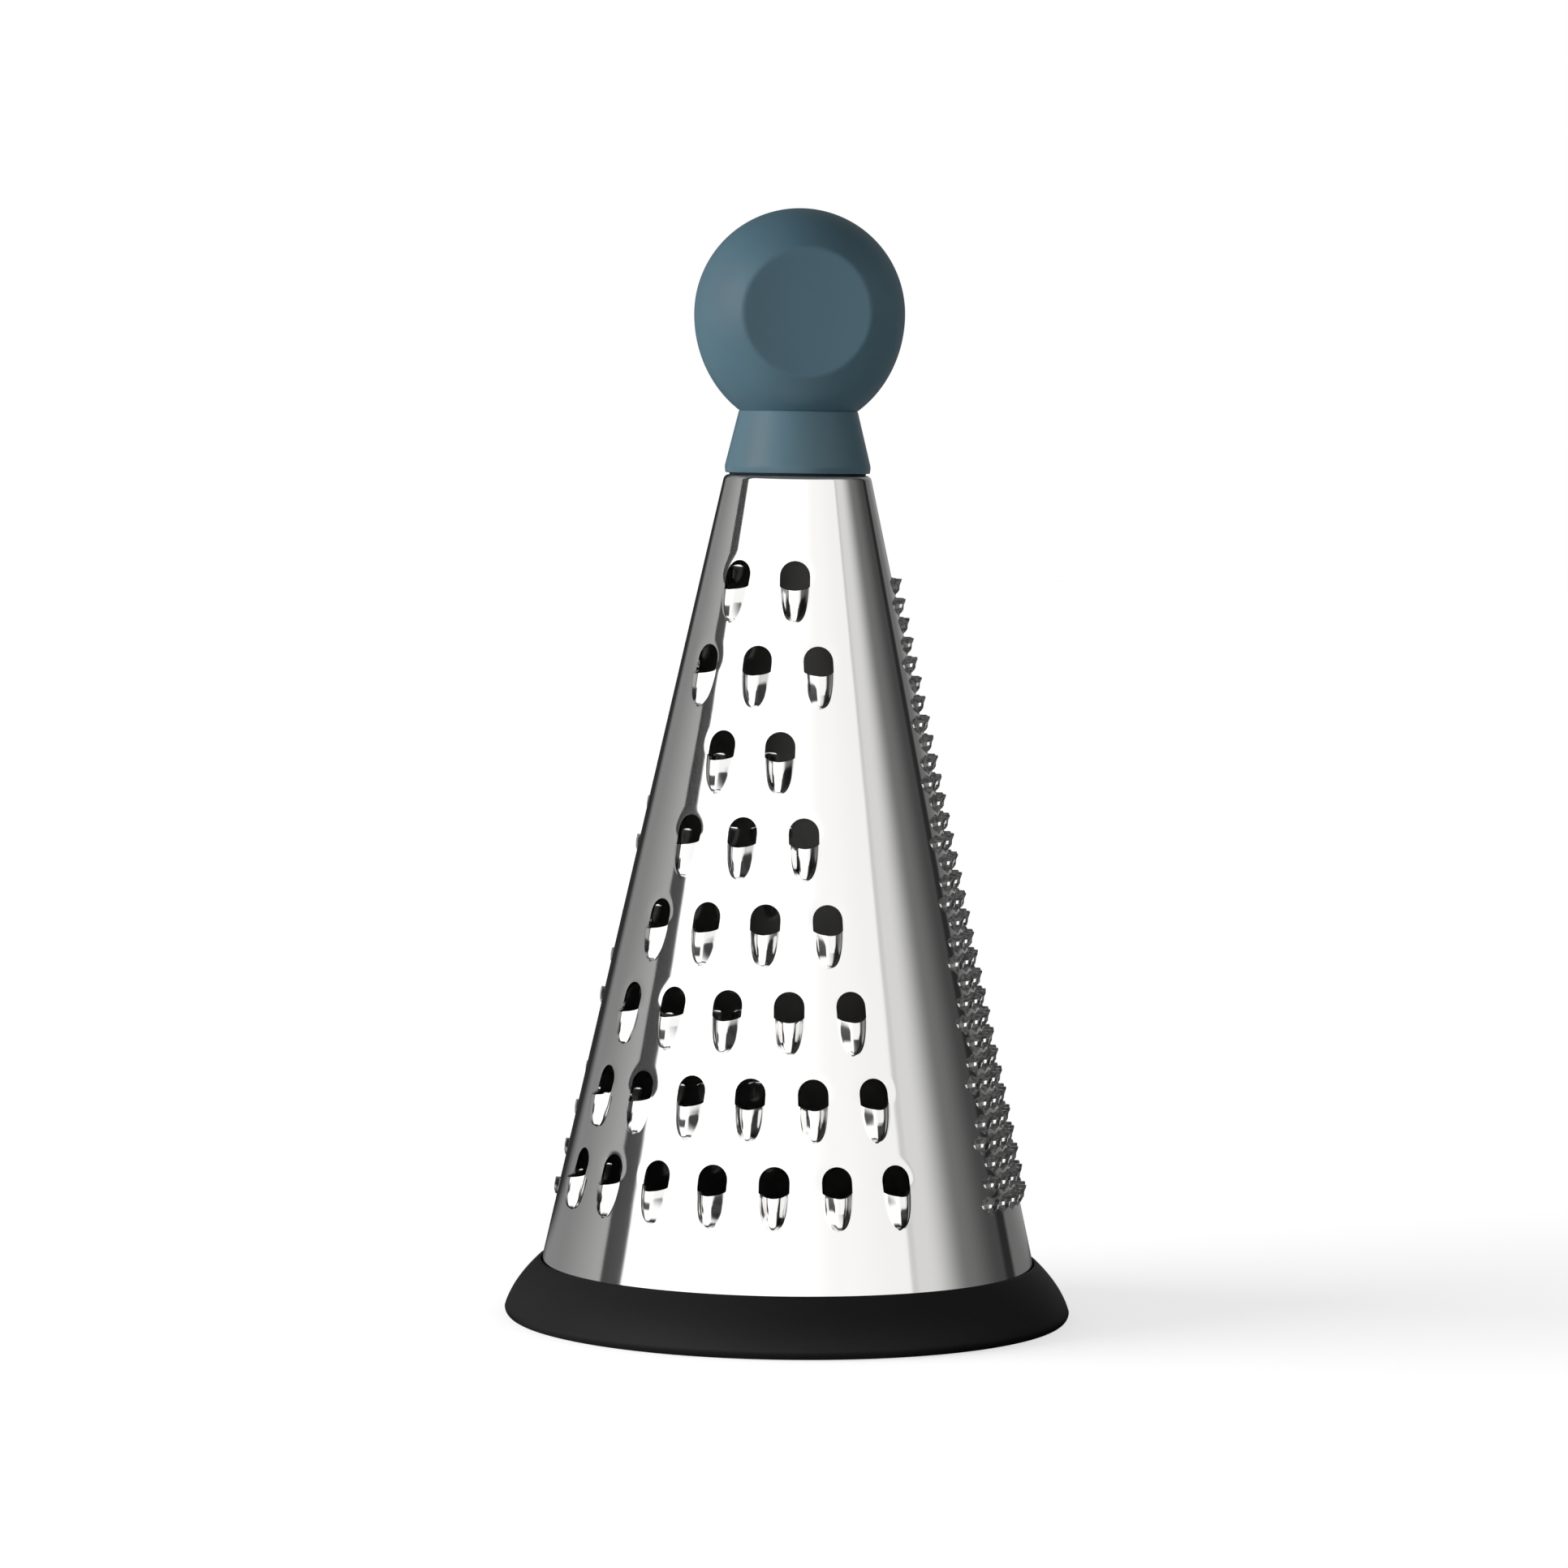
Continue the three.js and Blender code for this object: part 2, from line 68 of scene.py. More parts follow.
def flat_reach(z):
    """Distance from the apex of the flat blank to the line that ends up at a height"""
    return cone_radius(z) / math.sin(tilt)


land_radius = cone_radius(bend_z) - shoulder_radius / math.cos(tilt)
bend_reach = flat_reach(bend_z + shoulder_radius * math.sin(tilt))
bend_length = shoulder_radius * (math.pi / 2 - tilt)

# Each field of teeth is a triangle of staggered rows. reach says how far its lowest and its highest
# row may run to either side, half is half the width of a tooth.
top_plain = 18.4
strip_min = 4.0
coarse = dict(facing=0, low_z=33.1, row=16.87, pitch=12.45, reach=(38.8, 8.5), half=3.0)
medium = dict(facing=-120, low_z=27.4, row=7.83, pitch=5.8, reach=(35.2, 9.3), half=1.5)
rasp = dict(facing=120, low_z=26.2, row=3.96, pitch=5.6, reach=(34.05, 6.05), half=1.25)


def tooth_places(field):
    """The facing in degrees and the height of each tooth of a field"""
    places = []
    count = math.floor((cone_top_z - top_plain - field["low_z"]) / field["row"]) + 1
    for row in range(count):
        height = field["low_z"] + row * field["row"]
        radius = cone_radius(height)
        low, high = field["reach"]
        room = math.pi / 3 * radius - field["half"] - strip_min / 2
        reach = min(low + (high - low) * row / (count - 1), room)
        shift = row % 2 / 2
        end = math.floor(reach / field["pitch"] - shift) + shift
        for column in np.arange(-end, end + 0.1):
            swing = math.degrees(column * field["pitch"] / radius)
            places.append((field["facing"] + swing, height))
    return places


def mesh_of(name, points, faces):
    """A mesh from points in millimetres"""
    mesh = bpy.data.meshes.new(name)
    mesh.from_pydata([tuple(point) for point in np.asarray(points) * MM], [], faces)
    return mesh


def place(name, mesh):
    """Puts a mesh into the scene as an object of that name"""
    piece = bpy.data.objects.new(name, mesh)
    bpy.context.scene.collection.objects.link(piece)
    return piece


def mark(mesh, name, kind, domain, values):
    """Stores one value for each point or face of a mesh"""
    mesh.attributes.new(name, kind, domain).data.foreach_set("value", values)


def scoop(half, crown_rise, hole_top, hole_height, length, rise, sag, dish, sides, columns, rows, margins):
    """A flat tooth: a round-topped hole, the tongue pressed out below it, and loops of sheet round both
    that are drawn in towards the hole. half is half its width, rise the height of the tongue, sag the
    hollow of the tongue's lip, and dish the depth to which the hole's crown is drawn in. Gives its
    points, its faces, the loop by which it joins the blank, the thickness of the metal at each point,
    and which faces are torn."""
    lip = hole_top - hole_height
    widest = hole_top - crown_rise
    outline_power = 2.6
    ridge_end = 0.32
    flank_end = 0.93
    rounding = 0.07

    def width_at(y):
        drop = (widest - y) / (widest - lip + length)
        return half * max(1 - drop**outline_power, 0) ** (1 / outline_power)

    def section(across):
        return np.clip((flank_end - np.abs(across)) / (flank_end - ridge_end), 0, 1)

    flanks = np.linspace(lip, widest, max(sides // 4, 1), endpoint=False)
    round_steps = sides - 2 * len(flanks)
    crown = [(width_at(y), y) for y in flanks]
    for i in range(round_steps + 1):
        angle = math.pi * i / round_steps
        crown.append((half * math.cos(angle), widest + crown_rise * math.sin(angle)))
    crown += [(-width_at(y), y) for y in reversed(flanks)]
    crown = [(x, y, -dish * min((y - lip) / (widest - lip), 1)) for x, y in crown]
    across = np.linspace(-1, 1, columns + 1)
    bell = np.mean([section(across + nudge) for nudge in np.linspace(-rounding, rounding, 7)], axis=0)
    tongue = []
    for j in range(rows):
        share = math.sin(math.pi / 2 * j / rows)
        y = lip - share * length
        high = rise * width_at(y) / half
        dip = sag * (1 - share)
        tongue.append([(width_at(y) * u, y - dip * (1 - u * u), high * b) for u, b in zip(across, bell)])
    tip = (0, lip - length, 0)
    left = [row[0] for row in tongue[1:]]
    right = [row[-1] for row in tongue[1:]]
    rim = np.array(crown + left + [tip] + right[::-1])
    count = len(rim)
    ahead = np.roll(rim, -1, axis=0) - np.roll(rim, 1, axis=0)
    sideways = np.stack([ahead[:, 1], -ahead[:, 0]], axis=1)
    sideways /= np.linalg.norm(sideways, axis=1, keepdims=True)
    points = list(rim)
    for margin in margins:
        fade = (1 - margin / margins[-1]) ** 2
        loop = rim.copy()
        loop[:, :2] += sideways * margin
        loop[:, 2] *= fade
        points += list(loop)
    faces = []
    for k in range(len(margins)):
        for i in range(count):
            near, far = k * count, (k + 1) * count
            after = (i + 1) % count
            faces.append((far + i, far + after, near + after, near + i))
    grid = [[sides] + [None] * (columns - 1) + [0]]
    for j in range(1, rows):
        grid.append([sides + j] + [None] * (columns - 1) + [count - j])
    for row, ids in zip(tongue, grid):
        for i in range(1, columns):
            ids[i] = len(points)
            points.append(row[i])
    for high, low in zip(grid, grid[1:]):
        for i in range(columns):
            faces.append((low[i], low[i + 1], high[i + 1], high[i]))
    for i in range(columns):
        faces.append((sides + rows, grid[-1][i + 1], grid[-1][i]))
    outline = np.array(points[len(margins) * count : (len(margins) + 1) * count])[:, :2]
    gauge = [sheet_gauge] * len(points)
    return dict(points=points, faces=faces, outline=outline, gauge=gauge, torn=[False] * len(faces))


def rasp_point(rings, crown_radius, crown):
    """A flat tooth: the sheet drawn up in eight facets and torn open at its top, which leaves a ragged
    crown. Each ring gives a radius, a height and the thickness of the metal there, and the crown the
    heights of its points, which stand over the middles of the facets. All of it leans upwards. Every
    other facet is narrower, and there the punch leaves it bright between the last two rings."""
    facets = 8
    torn_gauge = 0.1
    lean = 0.4
    narrowing = 0.2

    def at(turn, radius, height):
        angle = math.tau / facets * turn
        return radius * math.cos(angle), radius * math.sin(angle), height * (1 + lean * math.sin(angle))

    points = []
    for radius, height, _ in rings:
        for turn in range(facets):
            points.append(at(turn + 0.5 + narrowing * (-1, 1)[turn % 2], radius, height))
    points += [at(turn, crown_radius, height) for turn, height in enumerate(crown)]
    peak = len(points) - facets
    last_ring = peak - facets
    faces, torn = [], []
    for i in range(facets):
        after = (i + 1) % facets
        for low in range(0, last_ring, facets):
            faces.append((low + i, low + after, low + facets + after, low + facets + i))
            torn.append(low < last_ring - facets or i % 2 == 0)
        faces.append((last_ring + i, last_ring + after, peak + after))
        faces.append((last_ring + i, peak + after, peak + i))
        torn += [True, True]
    outline = np.array(points[:facets])[:, :2]
    gauge = [thick for _, _, thick in rings for _ in range(facets)] + [torn_gauge] * facets
    return dict(points=points, faces=faces, outline=outline, gauge=gauge, torn=torn)


coarse_tooth = scoop(
    half=3.05,
    crown_rise=3.05,
    hole_top=3.2,
    hole_height=5.2,
    length=7.4,
    rise=2.15,
    sag=1.3,
    dish=0.12,
    sides=24,
    columns=28,
    rows=12,
    margins=(0.35, 0.8, 1.4, 2.2),
)
medium_tooth = scoop(
    half=1.5,
    crown_rise=0.35,
    hole_top=0.1,
    hole_height=0.5,
    length=3.6,
    rise=1.35,
    sag=0.1,
    dish=0.05,
    sides=6,
    columns=6,
    rows=4,
    margins=(0.6,),
)
rasp_tooth = rasp_point(
    rings=[(2.05, 0, sheet_gauge), (1.65, 0.3, 0.45), (1.5, 0.65, 0.4), (1.35, 1.1, 0.3)],
    crown_radius=1.2,
    crown=(1.3, 1.45, 1.4, 1.45, 1.3, 1.5, 1.3, 1.5),
)
teeth = [(coarse, coarse_tooth), (medium, medium_tooth), (rasp, rasp_tooth)]

# The flat blank: its two ends meet at the back, and each tooth leaves an opening of its own outline
row_step = 4.0
bend_rows = 6
column_count = 144
keep_off = 0.9
corners = []
owners = []
edges = []
tooth_points = []
for kind, (field, tooth) in enumerate(teeth):
    outline = tooth["outline"]
    for facing, height in tooth_places(field):
        turn = math.radians(facing) * math.sin(tilt)
        reach = flat_reach(height)
        spot = np.array([reach * math.sin(turn), -reach * math.cos(turn)])
        turned_axes = np.array([[math.cos(turn), math.sin(turn)], [-math.sin(turn), math.cos(turn)]])
        first = len(corners)
        loop = outline @ turned_axes + spot
        corners += list(loop)
        owners += [len(tooth_points)] * len(loop)
        edges += [(first + i, first + (i + 1) % len(loop)) for i in range(len(loop))]
        low = outline.min(axis=0) - keep_off
        high = outline.max(axis=0) + keep_off
        tooth_points.append((kind, turn, spot, turned_axes, low, high))


def near_tooth(spot):
    """Whether a spot on the blank lies in a tooth or too close to one"""
    for _, _, middle, axes, low, high in tooth_points:
        local = axes @ (spot - middle)
        if (local > low).all() and (local < high).all():
            return True
    return False


side_rows = int((flat_reach(cone_foot_z) - bend_reach) / row_step)
reaches = list(np.linspace(flat_reach(cone_foot_z), bend_reach, side_rows))
reaches += list(np.linspace(bend_reach, bend_reach - bend_length, bend_rows)[1:])
reaches.append(reaches[-1] - (land_radius - land_bore))
border = {}
for j, reach in enumerate(reaches):
    for i in range(column_count + 1):
        turn = (2 * math.pi * i / column_count - math.pi) * math.sin(tilt)
        spot = np.array([reach * math.sin(turn), -reach * math.cos(turn)])
        if j in (0, len(reaches) - 1) or i in (0, column_count):
            border[j, i] = len(corners)
        elif near_tooth(spot):
            continue
        corners.append(spot)
        owners.append(-1)
for j in (0, len(reaches) - 1):
    edges += [(border[j, i], border[j, i + 1]) for i in range(column_count)]
for i in (0, column_count):
    edges += [(border[j, i], border[j + 1, i]) for j in range(len(reaches) - 1)]
inside_border = 1
same_point = 1e-5
flat_corners = [Vector(corner) for corner in corners]
laid, _, triangles, sources, _, _ = delaunay_2d_cdt(flat_corners, edges, [], inside_border, same_point)
owner = [owners[source[0]] for source in sources]
kept = []
for a, b, c in triangles:
    if owner[a] < 0 or owner[a] != owner[b] or owner[a] != owner[c]:
        kept.append((a, b, c))
blank_mesh = mesh_of("blank", [(*corner, 0) for corner in laid], kept)
mark(blank_mesh, "gauge", "FLOAT", "POINT", [sheet_gauge] * len(blank_mesh.vertices))
mark(blank_mesh, "formed", "BOOLEAN", "FACE", [False] * len(blank_mesh.polygons))
mark(blank_mesh, "torn", "BOOLEAN", "FACE", [False] * len(blank_mesh.polygons))
grating_cone = place("grating_cone_sheet", blank_mesh)
spots_mesh = mesh_of("tooth_spots", [(*spot, 0) for _, _, spot, _, _, _ in tooth_points], [])
mark(spots_mesh, "turn", "FLOAT", "POINT", [point[1] for point in tooth_points])
mark(spots_mesh, "kind", "INT", "POINT", [point[0] for point in tooth_points])
tooth_spots = place("tooth_spots", spots_mesh)
tooth_forms = []
for _, tooth in teeth:
    form = mesh_of("tooth", tooth["points"], tooth["faces"])
    mark(form, "gauge", "FLOAT", "POINT", tooth["gauge"])
    mark(form, "formed", "BOOLEAN", "FACE", [True] * len(tooth["faces"]))
    mark(form, "torn", "BOOLEAN", "FACE", tooth["torn"])
    tooth_forms.append(place("tooth", form))


class Wire:
    """A node's output. Arithmetic on it adds Math nodes, node() adds any other node."""

    def __init__(self, tree, socket=None):
        self.tree = tree
        self.socket = socket

    def node(self, kind, inputs=None, output=0, **settings):
        made = self.tree.nodes.new(kind)
        for name, value in settings.items():
            setattr(made, name, value)
        for name, value in (inputs or {}).items():
            for entry in value if isinstance(value, list) else [value]:
                if isinstance(entry, Wire):
                    self.tree.links.new(entry.socket, made.inputs[name])
                else:
                    made.inputs[name].default_value = entry
        return Wire(self.tree, made.outputs[output]) if len(made.outputs) else None

    def also(self, output):
        return Wire(self.tree, self.socket.node.outputs[output])

    def math(self, operation, *others):
        return self.node("ShaderNodeMath", dict(enumerate((self, *others))), operation=operation)

    def __add__(self, other):
        return self.math("ADD", other)

    def __sub__(self, other):
        return self.math("SUBTRACT", other)

    def __rsub__(self, other):
        return self.math("MULTIPLY", -1.0) + other

    def __mul__(self, other):
        return self.math("MULTIPLY", other)

    def __truediv__(self, other):
        return self.math("DIVIDE", other)

    __radd__ = __add__
    __rmul__ = __mul__


def rolled_sheet():
    """Geometry Nodes that set the teeth into the blank, roll it up and turn its top edge in"""
    tree = bpy.data.node_groups.new("rolled_sheet", "GeometryNodeTree")
    interface = tree.interface
    interface.new_socket("Blank", in_out="INPUT", socket_type="NodeSocketGeometry")
    for name in ("Spots", "Tooth 0", "Tooth 1", "Tooth 2"):
        interface.new_socket(name, in_out="INPUT", socket_type="NodeSocketObject")
    for name in ("Tilt", "Shoulder radius", "Land radius", "Bend height", "Bend reach"):
        interface.new_socket(name, in_out="INPUT", socket_type="NodeSocketFloat")
    interface.new_socket("Finish", in_out="INPUT", socket_type="NodeSocketMaterial")
    interface.new_socket("Sheet", in_out="OUTPUT", socket_type="NodeSocketGeometry")
    given = Wire(tree).node("NodeGroupInput")
    spots = given.node("GeometryNodeObjectInfo", {"Object": given.also("Spots")}, "Geometry")
    turn = given.node("GeometryNodeInputNamedAttribute", {"Name": "turn"}, data_type="FLOAT")
    kind = given.node("GeometryNodeInputNamedAttribute", {"Name": "kind"}, data_type="INT")
    rotation = given.node("ShaderNodeCombineXYZ", {"Z": turn})
    joined = [given.also("Blank")]
    for k in range(3):
        form = given.node("GeometryNodeObjectInfo", {"Object": given.also(f"Tooth {k}")}, "Geometry")
        chosen = given.node("FunctionNodeCompare", {"A": kind, "B": float(k)}, operation="EQUAL")
        joined.append(
            given.node(
                "GeometryNodeInstanceOnPoints",
                {"Points": spots, "Selection": chosen, "Instance": form, "Rotation": rotation},
            )
        )
    together = given.node("GeometryNodeJoinGeometry", {"Geometry": joined})
    loose = given.node("GeometryNodeRealizeInstances", {"Geometry": together})

    slope, bend_radius = given.also("Tilt"), given.also("Shoulder radius")
    x = given.node("ShaderNodeSeparateXYZ", {0: given.node("GeometryNodeInputPosition")})
    y, out = x.also("Y"), x.also("Z")
    reach = (x * x + y * y).math("SQRT")
    angle = x.math("ARCTAN2", y * -1.0) / slope.math("SINE")
    beyond = given.also("Bend reach") - reach
    over, below = beyond.math("MAXIMUM", 0.0), (beyond * -1.0).math("MAXIMUM", 0.0)
    full_bend = math.pi / 2 - slope
    bend = (over / bend_radius).math("MINIMUM", full_bend)
    tail = (over - full_bend * bend_radius).math("MAXIMUM", 0.0)
    leaning = slope + bend
    radius = given.also("Land radius") + (bend_radius + out) * leaning.math("COSINE")
    radius = radius + below * slope.math("SINE") - tail
    height = given.also("Bend height") + (bend_radius + out) * leaning.math("SINE")
    height = height - below * slope.math("COSINE")
    position = given.node(
        "ShaderNodeCombineXYZ",
        {"X": radius * angle.math("SINE"), "Y": radius * angle.math("COSINE") * -1.0, "Z": height},
    )
    sheet = given.node("GeometryNodeSetPosition", {"Geometry": loose, "Position": position})
    sheet = given.node("GeometryNodeMergeByDistance", {"Geometry": sheet, "Distance": 5e-6})
    sheet = given.node("GeometryNodeSetMaterial", {"Geometry": sheet, "Material": given.also("Finish")})
    given.node("NodeGroupOutput", {"Sheet": sheet})
    return tree


def new_finish(name):
    """A new material and the start of its node tree"""
    material = bpy.data.materials.new(name)
    material.use_nodes = True
    material.node_tree.nodes.clear()
    return material, Wire(material.node_tree)


def surface(start, **sockets):
    """Ends a material: a Principled surface with these sockets"""
    named = {name.replace("_", " ").title().replace("Ior", "IOR"): value for name, value in sockets.items()}
    shader = start.node("ShaderNodeBsdfPrincipled", named)
    start.node("ShaderNodeOutputMaterial", {"Surface": shader})


def step_at(value, edge, softness):
    """Rises from 0 to 1 across an edge"""
    limits = {"Value": value, "From Min": edge - softness, "From Max": edge + softness}
    return value.node("ShaderNodeMapRange", limits, interpolation_type="SMOOTHSTEP")


def noise(start, scale, detail=2.0):
    """A noise that keeps to its place on the piece"""
    spot = start.node("ShaderNodeTexCoord", output="Object")
    return start.node("ShaderNodeTexNoise", {"Vector": spot, "Scale": scale, "Detail": detail})


def blend(share, first, second):
    """A colour that goes from the first to the second with a share"""
    ends = {0: share, 6: (*first, 1), 7: (*second, 1)}
    return share.node("ShaderNodeMix", ends, output=2, data_type="RGBA")


steel_color = (0.82, 0.813, 0.805)
marks_round = 160.0
marks_up = 40.0
polished_steel, start = new_finish("polished_steel")
x = start.node("ShaderNodeSeparateXYZ", {0: start.node("ShaderNodeTexCoord", output="Object")})
round_angle = x.math("ARCTAN2", x.also("Y"))
stretched = {"X": round_angle * marks_round, "Y": x.also("Z") * marks_up, "Z": 0.0}
along_rolling = start.node("ShaderNodeCombineXYZ", stretched)
rolling = start.node("ShaderNodeTexNoise", {"Vector": along_rolling, "Scale": 1.0, "Detail": 3.0})
waves = noise(start, scale=45.0, detail=1.0)
wavy = start.node("ShaderNodeBump", {"Height": waves, "Strength": 0.03, "Distance": 0.002})
surface(start, base_color=(*steel_color, 1), metallic=1.0, roughness=rolling * 0.08 + 0.03, normal=wavy)

sheet_inside, start = new_finish("sheet_inside")
grain = noise(start, scale=900.0)
surface(start, base_color=(0.32, 0.313, 0.306, 1), metallic=1.0, roughness=grain * 0.1 + 0.4)

# Torn burr metal: matt, with random darker and lighter flecks of its own, and darker and less metallic than
# steel overall, which is painted shade on the burrs.
torn_steel_and_painted_shade, start = new_finish("torn_steel_and_painted_shade")
flecks = step_at(noise(start, scale=1300.0), 0.5, 0.16)
tone = blend(flecks, (0.16, 0.158, 0.157), (0.44, 0.435, 0.43))
surface(start, base_color=tone, metallic=0.25, roughness=0.45)

tree = rolled_sheet()
roll = grating_cone.modifiers.new("roll", "NODES")
roll.node_group = tree
sheet_inputs = {
    "Spots": tooth_spots,
    **{f"Tooth {k}": form for k, form in enumerate(tooth_forms)},
    "Tilt": tilt,
    "Shoulder radius": shoulder_radius * MM,
    "Land radius": land_radius * MM,
    "Bend height": bend_z * MM,
    "Bend reach": bend_reach * MM,
    "Finish": polished_steel,
}
for item in tree.interface.items_tree:
    if item.name in sheet_inputs:
        roll[item.identifier] = sheet_inputs[item.name]
evaluated = grating_cone.evaluated_get(bpy.context.evaluated_depsgraph_get())
outer = bpy.data.meshes.new_from_object(evaluated)
grating_cone.modifiers.remove(roll)
for helper in (tooth_spots, *tooth_forms):
    bpy.data.objects.remove(helper)


def read(items, name, width, kind=float):
    """All the values of a property of a mesh's parts, as one array"""
    values = np.empty(len(items) * width, dtype=kind)
    items.foreach_get(name, values)
    return values.reshape(-1, width) if width > 1 else values


def thickened(outer):
    """Gives the sheet its inner face and its cut edges. Plain stretches take the exact normals of the
    cone, formed ones the mean of their faces, so that reflections run smoothly over both. Where the
    metal is drawn thin it stays in facets, and there its inner face takes the matt torn-metal finish,
    whose darkness is partly painted shade; so do the torn faces outside."""
    polished, satin, dull_and_painted_shade = range(3)
    full_share = 0.99
    points = read(outer.vertices, "co", 3)
    gauge = read(outer.attributes["gauge"].data, "value", 1) * MM
    formed = read(outer.attributes["formed"].data, "value", 1, bool)
    torn = read(outer.attributes["torn"].data, "value", 1, bool)
    starts = read(outer.polygons, "loop_start", 1, int)
    totals = read(outer.polygons, "loop_total", 1, int)
    corner_points = read(outer.loops, "vertex_index", 1, int)
    face_of = np.repeat(np.arange(len(starts)), totals)
    facing = read(outer.polygons, "normal", 3) * read(outer.polygons, "area", 1)[:, None]
    count = len(points)
    soft = np.zeros((count, 3))
    on_formed = formed[face_of]
    np.add.at(soft, corner_points[on_formed], facing[face_of[on_formed]])
    radius = np.hypot(points[:, 0], points[:, 1])
    side = bend_z * MM + shoulder_radius * MM * math.sin(tilt)
    rise = np.clip(points[:, 2] - bend_z * MM, 0, None)
    run = np.clip(radius - land_radius * MM, 0, None)
    lean = np.where(points[:, 2] < side, tilt, np.arctan2(rise, run))
    exact = np.stack(
        [points[:, 0] / radius * np.cos(lean), points[:, 1] / radius * np.cos(lean), np.sin(lean)], axis=1
    )
    plain = np.zeros(count, bool)
    plain[corner_points[~on_formed]] = True
    normals = np.where(plain[:, None], exact, soft)
    normals /= np.linalg.norm(normals, axis=1, keepdims=True)
    inner = points - normals * gauge[:, None]
    faces = [tuple(corner_points[s : s + n]) for s, n in zip(starts, totals)]
    used = {}
    for face in faces:
        for a, b in zip(face, face[1:] + face[:1]):
            used[a, b] = True
    rims = []
    for a, b in used:
        if (b, a) not in used:
            rims.append((b, a, a + count, b + count))
    turned_faces = [tuple(i + count for i in reversed(face)) for face in faces]
    mesh = bpy.data.meshes.new("grating_cone_sheet")
    mesh.from_pydata(np.concatenate([points, inner]).tolist(), [], faces + turned_faces + rims)
    thin = np.minimum.reduceat(gauge[corner_points], starts) < full_share * sheet_gauge * MM
    # Torn faces outside and thin faces inside take the torn-metal finish, made darker with painted shade.
    outside = np.where(torn, dull_and_painted_shade, polished)
    inside = np.where(thin, dull_and_painted_shade, satin)
    finishes = [*outside, *inside, *[polished] * len(rims)]
    mesh.polygons.foreach_set("material_index", finishes)
    mesh.polygons.foreach_set("use_smooth", [True] * len(finishes))
    mesh.update()
    both = np.concatenate([normals, -normals])
    corner_points = read(mesh.loops, "vertex_index", 1, int)
    corner_normals = both[corner_points]
    rim_corners = 4 * len(rims)
    flat = read(mesh.polygons, "normal", 3)
    drawn = thin[face_of]
    corner_normals[: len(drawn)][drawn] = flat[face_of[drawn]]
    corner_normals[-rim_corners:] = np.repeat(flat[-len(rims) :], 4, axis=0)
    mesh.normals_split_custom_set(corner_normals.tolist())
    return mesh


grating_cone.data = thickened(outer)
for finish in (polished_steel, sheet_inside, torn_steel_and_painted_shade):
    grating_cone.data.materials.append(finish)
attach(grating_cone, "root")
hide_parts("grating_cone")

# The lap at the back, where one end of the sheet lies over the other in a line of spot welds. One of
# its long edges runs out flush, the other is the sheet's cut end.
lap_half = 4.5
lap_foot_z = 12.4
lap_top_z = 166.0
lap_rounding = 0.25
lap_bevel = 0.07
lap_sink = 0.05
weld_pitch = 14.0
weld_radius = 1.3
heat_reach = 1.0


def finished(form, mesh):
    """Writes a form into a mesh, with its faces turned outwards and smooth up to its sharp edges"""
    sharp_angle = 35
    bmesh.ops.recalc_face_normals(form, faces=form.faces)
    form.to_mesh(mesh)
    form.free()
    mesh.shade_smooth()
    mesh.set_sharp_from_angle(angle=math.radians(sharp_angle))


lap_steel, start = new_finish("lap_steel")
x = start.node("ShaderNodeSeparateXYZ", {0: start.node("ShaderNodeTexCoord", output="Object")})
across = x / MM
along = ((x.also("Z") / (weld_pitch * MM)).math("FRACT") - 0.5) * weld_pitch
from_weld = (across * across + along * along).math("SQRT")
dent = 1 - step_at(from_weld, weld_radius, 0.2)
heated = (1 - step_at(from_weld, weld_radius + heat_reach, 0.9)) * 0.6
tone = blend(heated, steel_color, (0.55, 0.46, 0.34))
pressed = start.node("ShaderNodeBump", {"Height": dent * -1.0, "Strength": 1.0, "Distance": 0.0002})
surface(start, base_color=tone, metallic=1.0, roughness=dent * 0.25 + 0.06, normal=pressed)

lap_section = []
for share in np.linspace(0, 1, 7):
    lap_section.append((-lap_half + share * lap_half, sheet_gauge * share**2 * (3 - 2 * share)))
lap_section += [(lap_half - lap_rounding, sheet_gauge), (lap_half - lap_bevel, sheet_gauge - lap_bevel)]
lap_section += [(lap_half, sheet_gauge - lap_rounding), (lap_half, -lap_sink), (-lap_half, -lap_sink)]
lap_rows = np.linspace(lap_foot_z, lap_top_z, 32)
points, faces = [], []
for z in lap_rows:
    for a, out in lap_section:
        angle = math.pi + a / cone_radius(z)
        radius = cone_radius(z) + out * math.cos(tilt)
        points.append((radius * math.sin(angle), -radius * math.cos(angle), z + out * math.sin(tilt)))
count = len(lap_section)
for row in range(len(lap_rows) - 1):
    for i in range(count):
        low, after = row * count, (i + 1) % count
        faces.append((low + i, low + after, low + count + after, low + count + i))
faces.append(tuple(range(count)))
faces.append(tuple(range(len(points) - count, len(points))))
lap_mesh = mesh_of("grating_cone_lap", points, faces)
form = bmesh.new()
form.from_mesh(lap_mesh)
finished(form, lap_mesh)
lap = place("grating_cone_lap", lap_mesh)
lap.data.materials.append(lap_steel)
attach(lap, "root")

# The plug
# A black moulding hung in the top of the cone. Its taper fits the steel, and its spigot comes up
# through the land and centres the collar.
fit = 0.3
gauge_across = sheet_gauge / math.cos(tilt)
plug_height = 11.0
plug_top_z = cone_top_z - sheet_gauge
plug_foot_z = plug_top_z - plug_height
seal_thickness = 0.35
collar_foot_z = cone_top_z + seal_thickness
spigot_rise = 4.0
spigot_top_z = collar_foot_z + spigot_rise
spigot_radius = 8.7
screw_bore = 2.75


def rounded(corners, steps=5):
    """A profile of (radius, height, rounding) corners, each rounded over that length of its sides"""
    points = []
    for i, (r, z, rounding) in enumerate(corners):
        here = Vector((r, z))
        if not rounding:
            points.append(here)
            continue
        before = here + (Vector(corners[i - 1][:2]) - here).normalized() * rounding
        after = here + (Vector(corners[(i + 1) % len(corners)][:2]) - here).normalized() * rounding
        for k in range(steps + 1):
            t = k / steps
            points.append(before * (1 - t) ** 2 + here * 2 * t * (1 - t) + after * t**2)
    return points


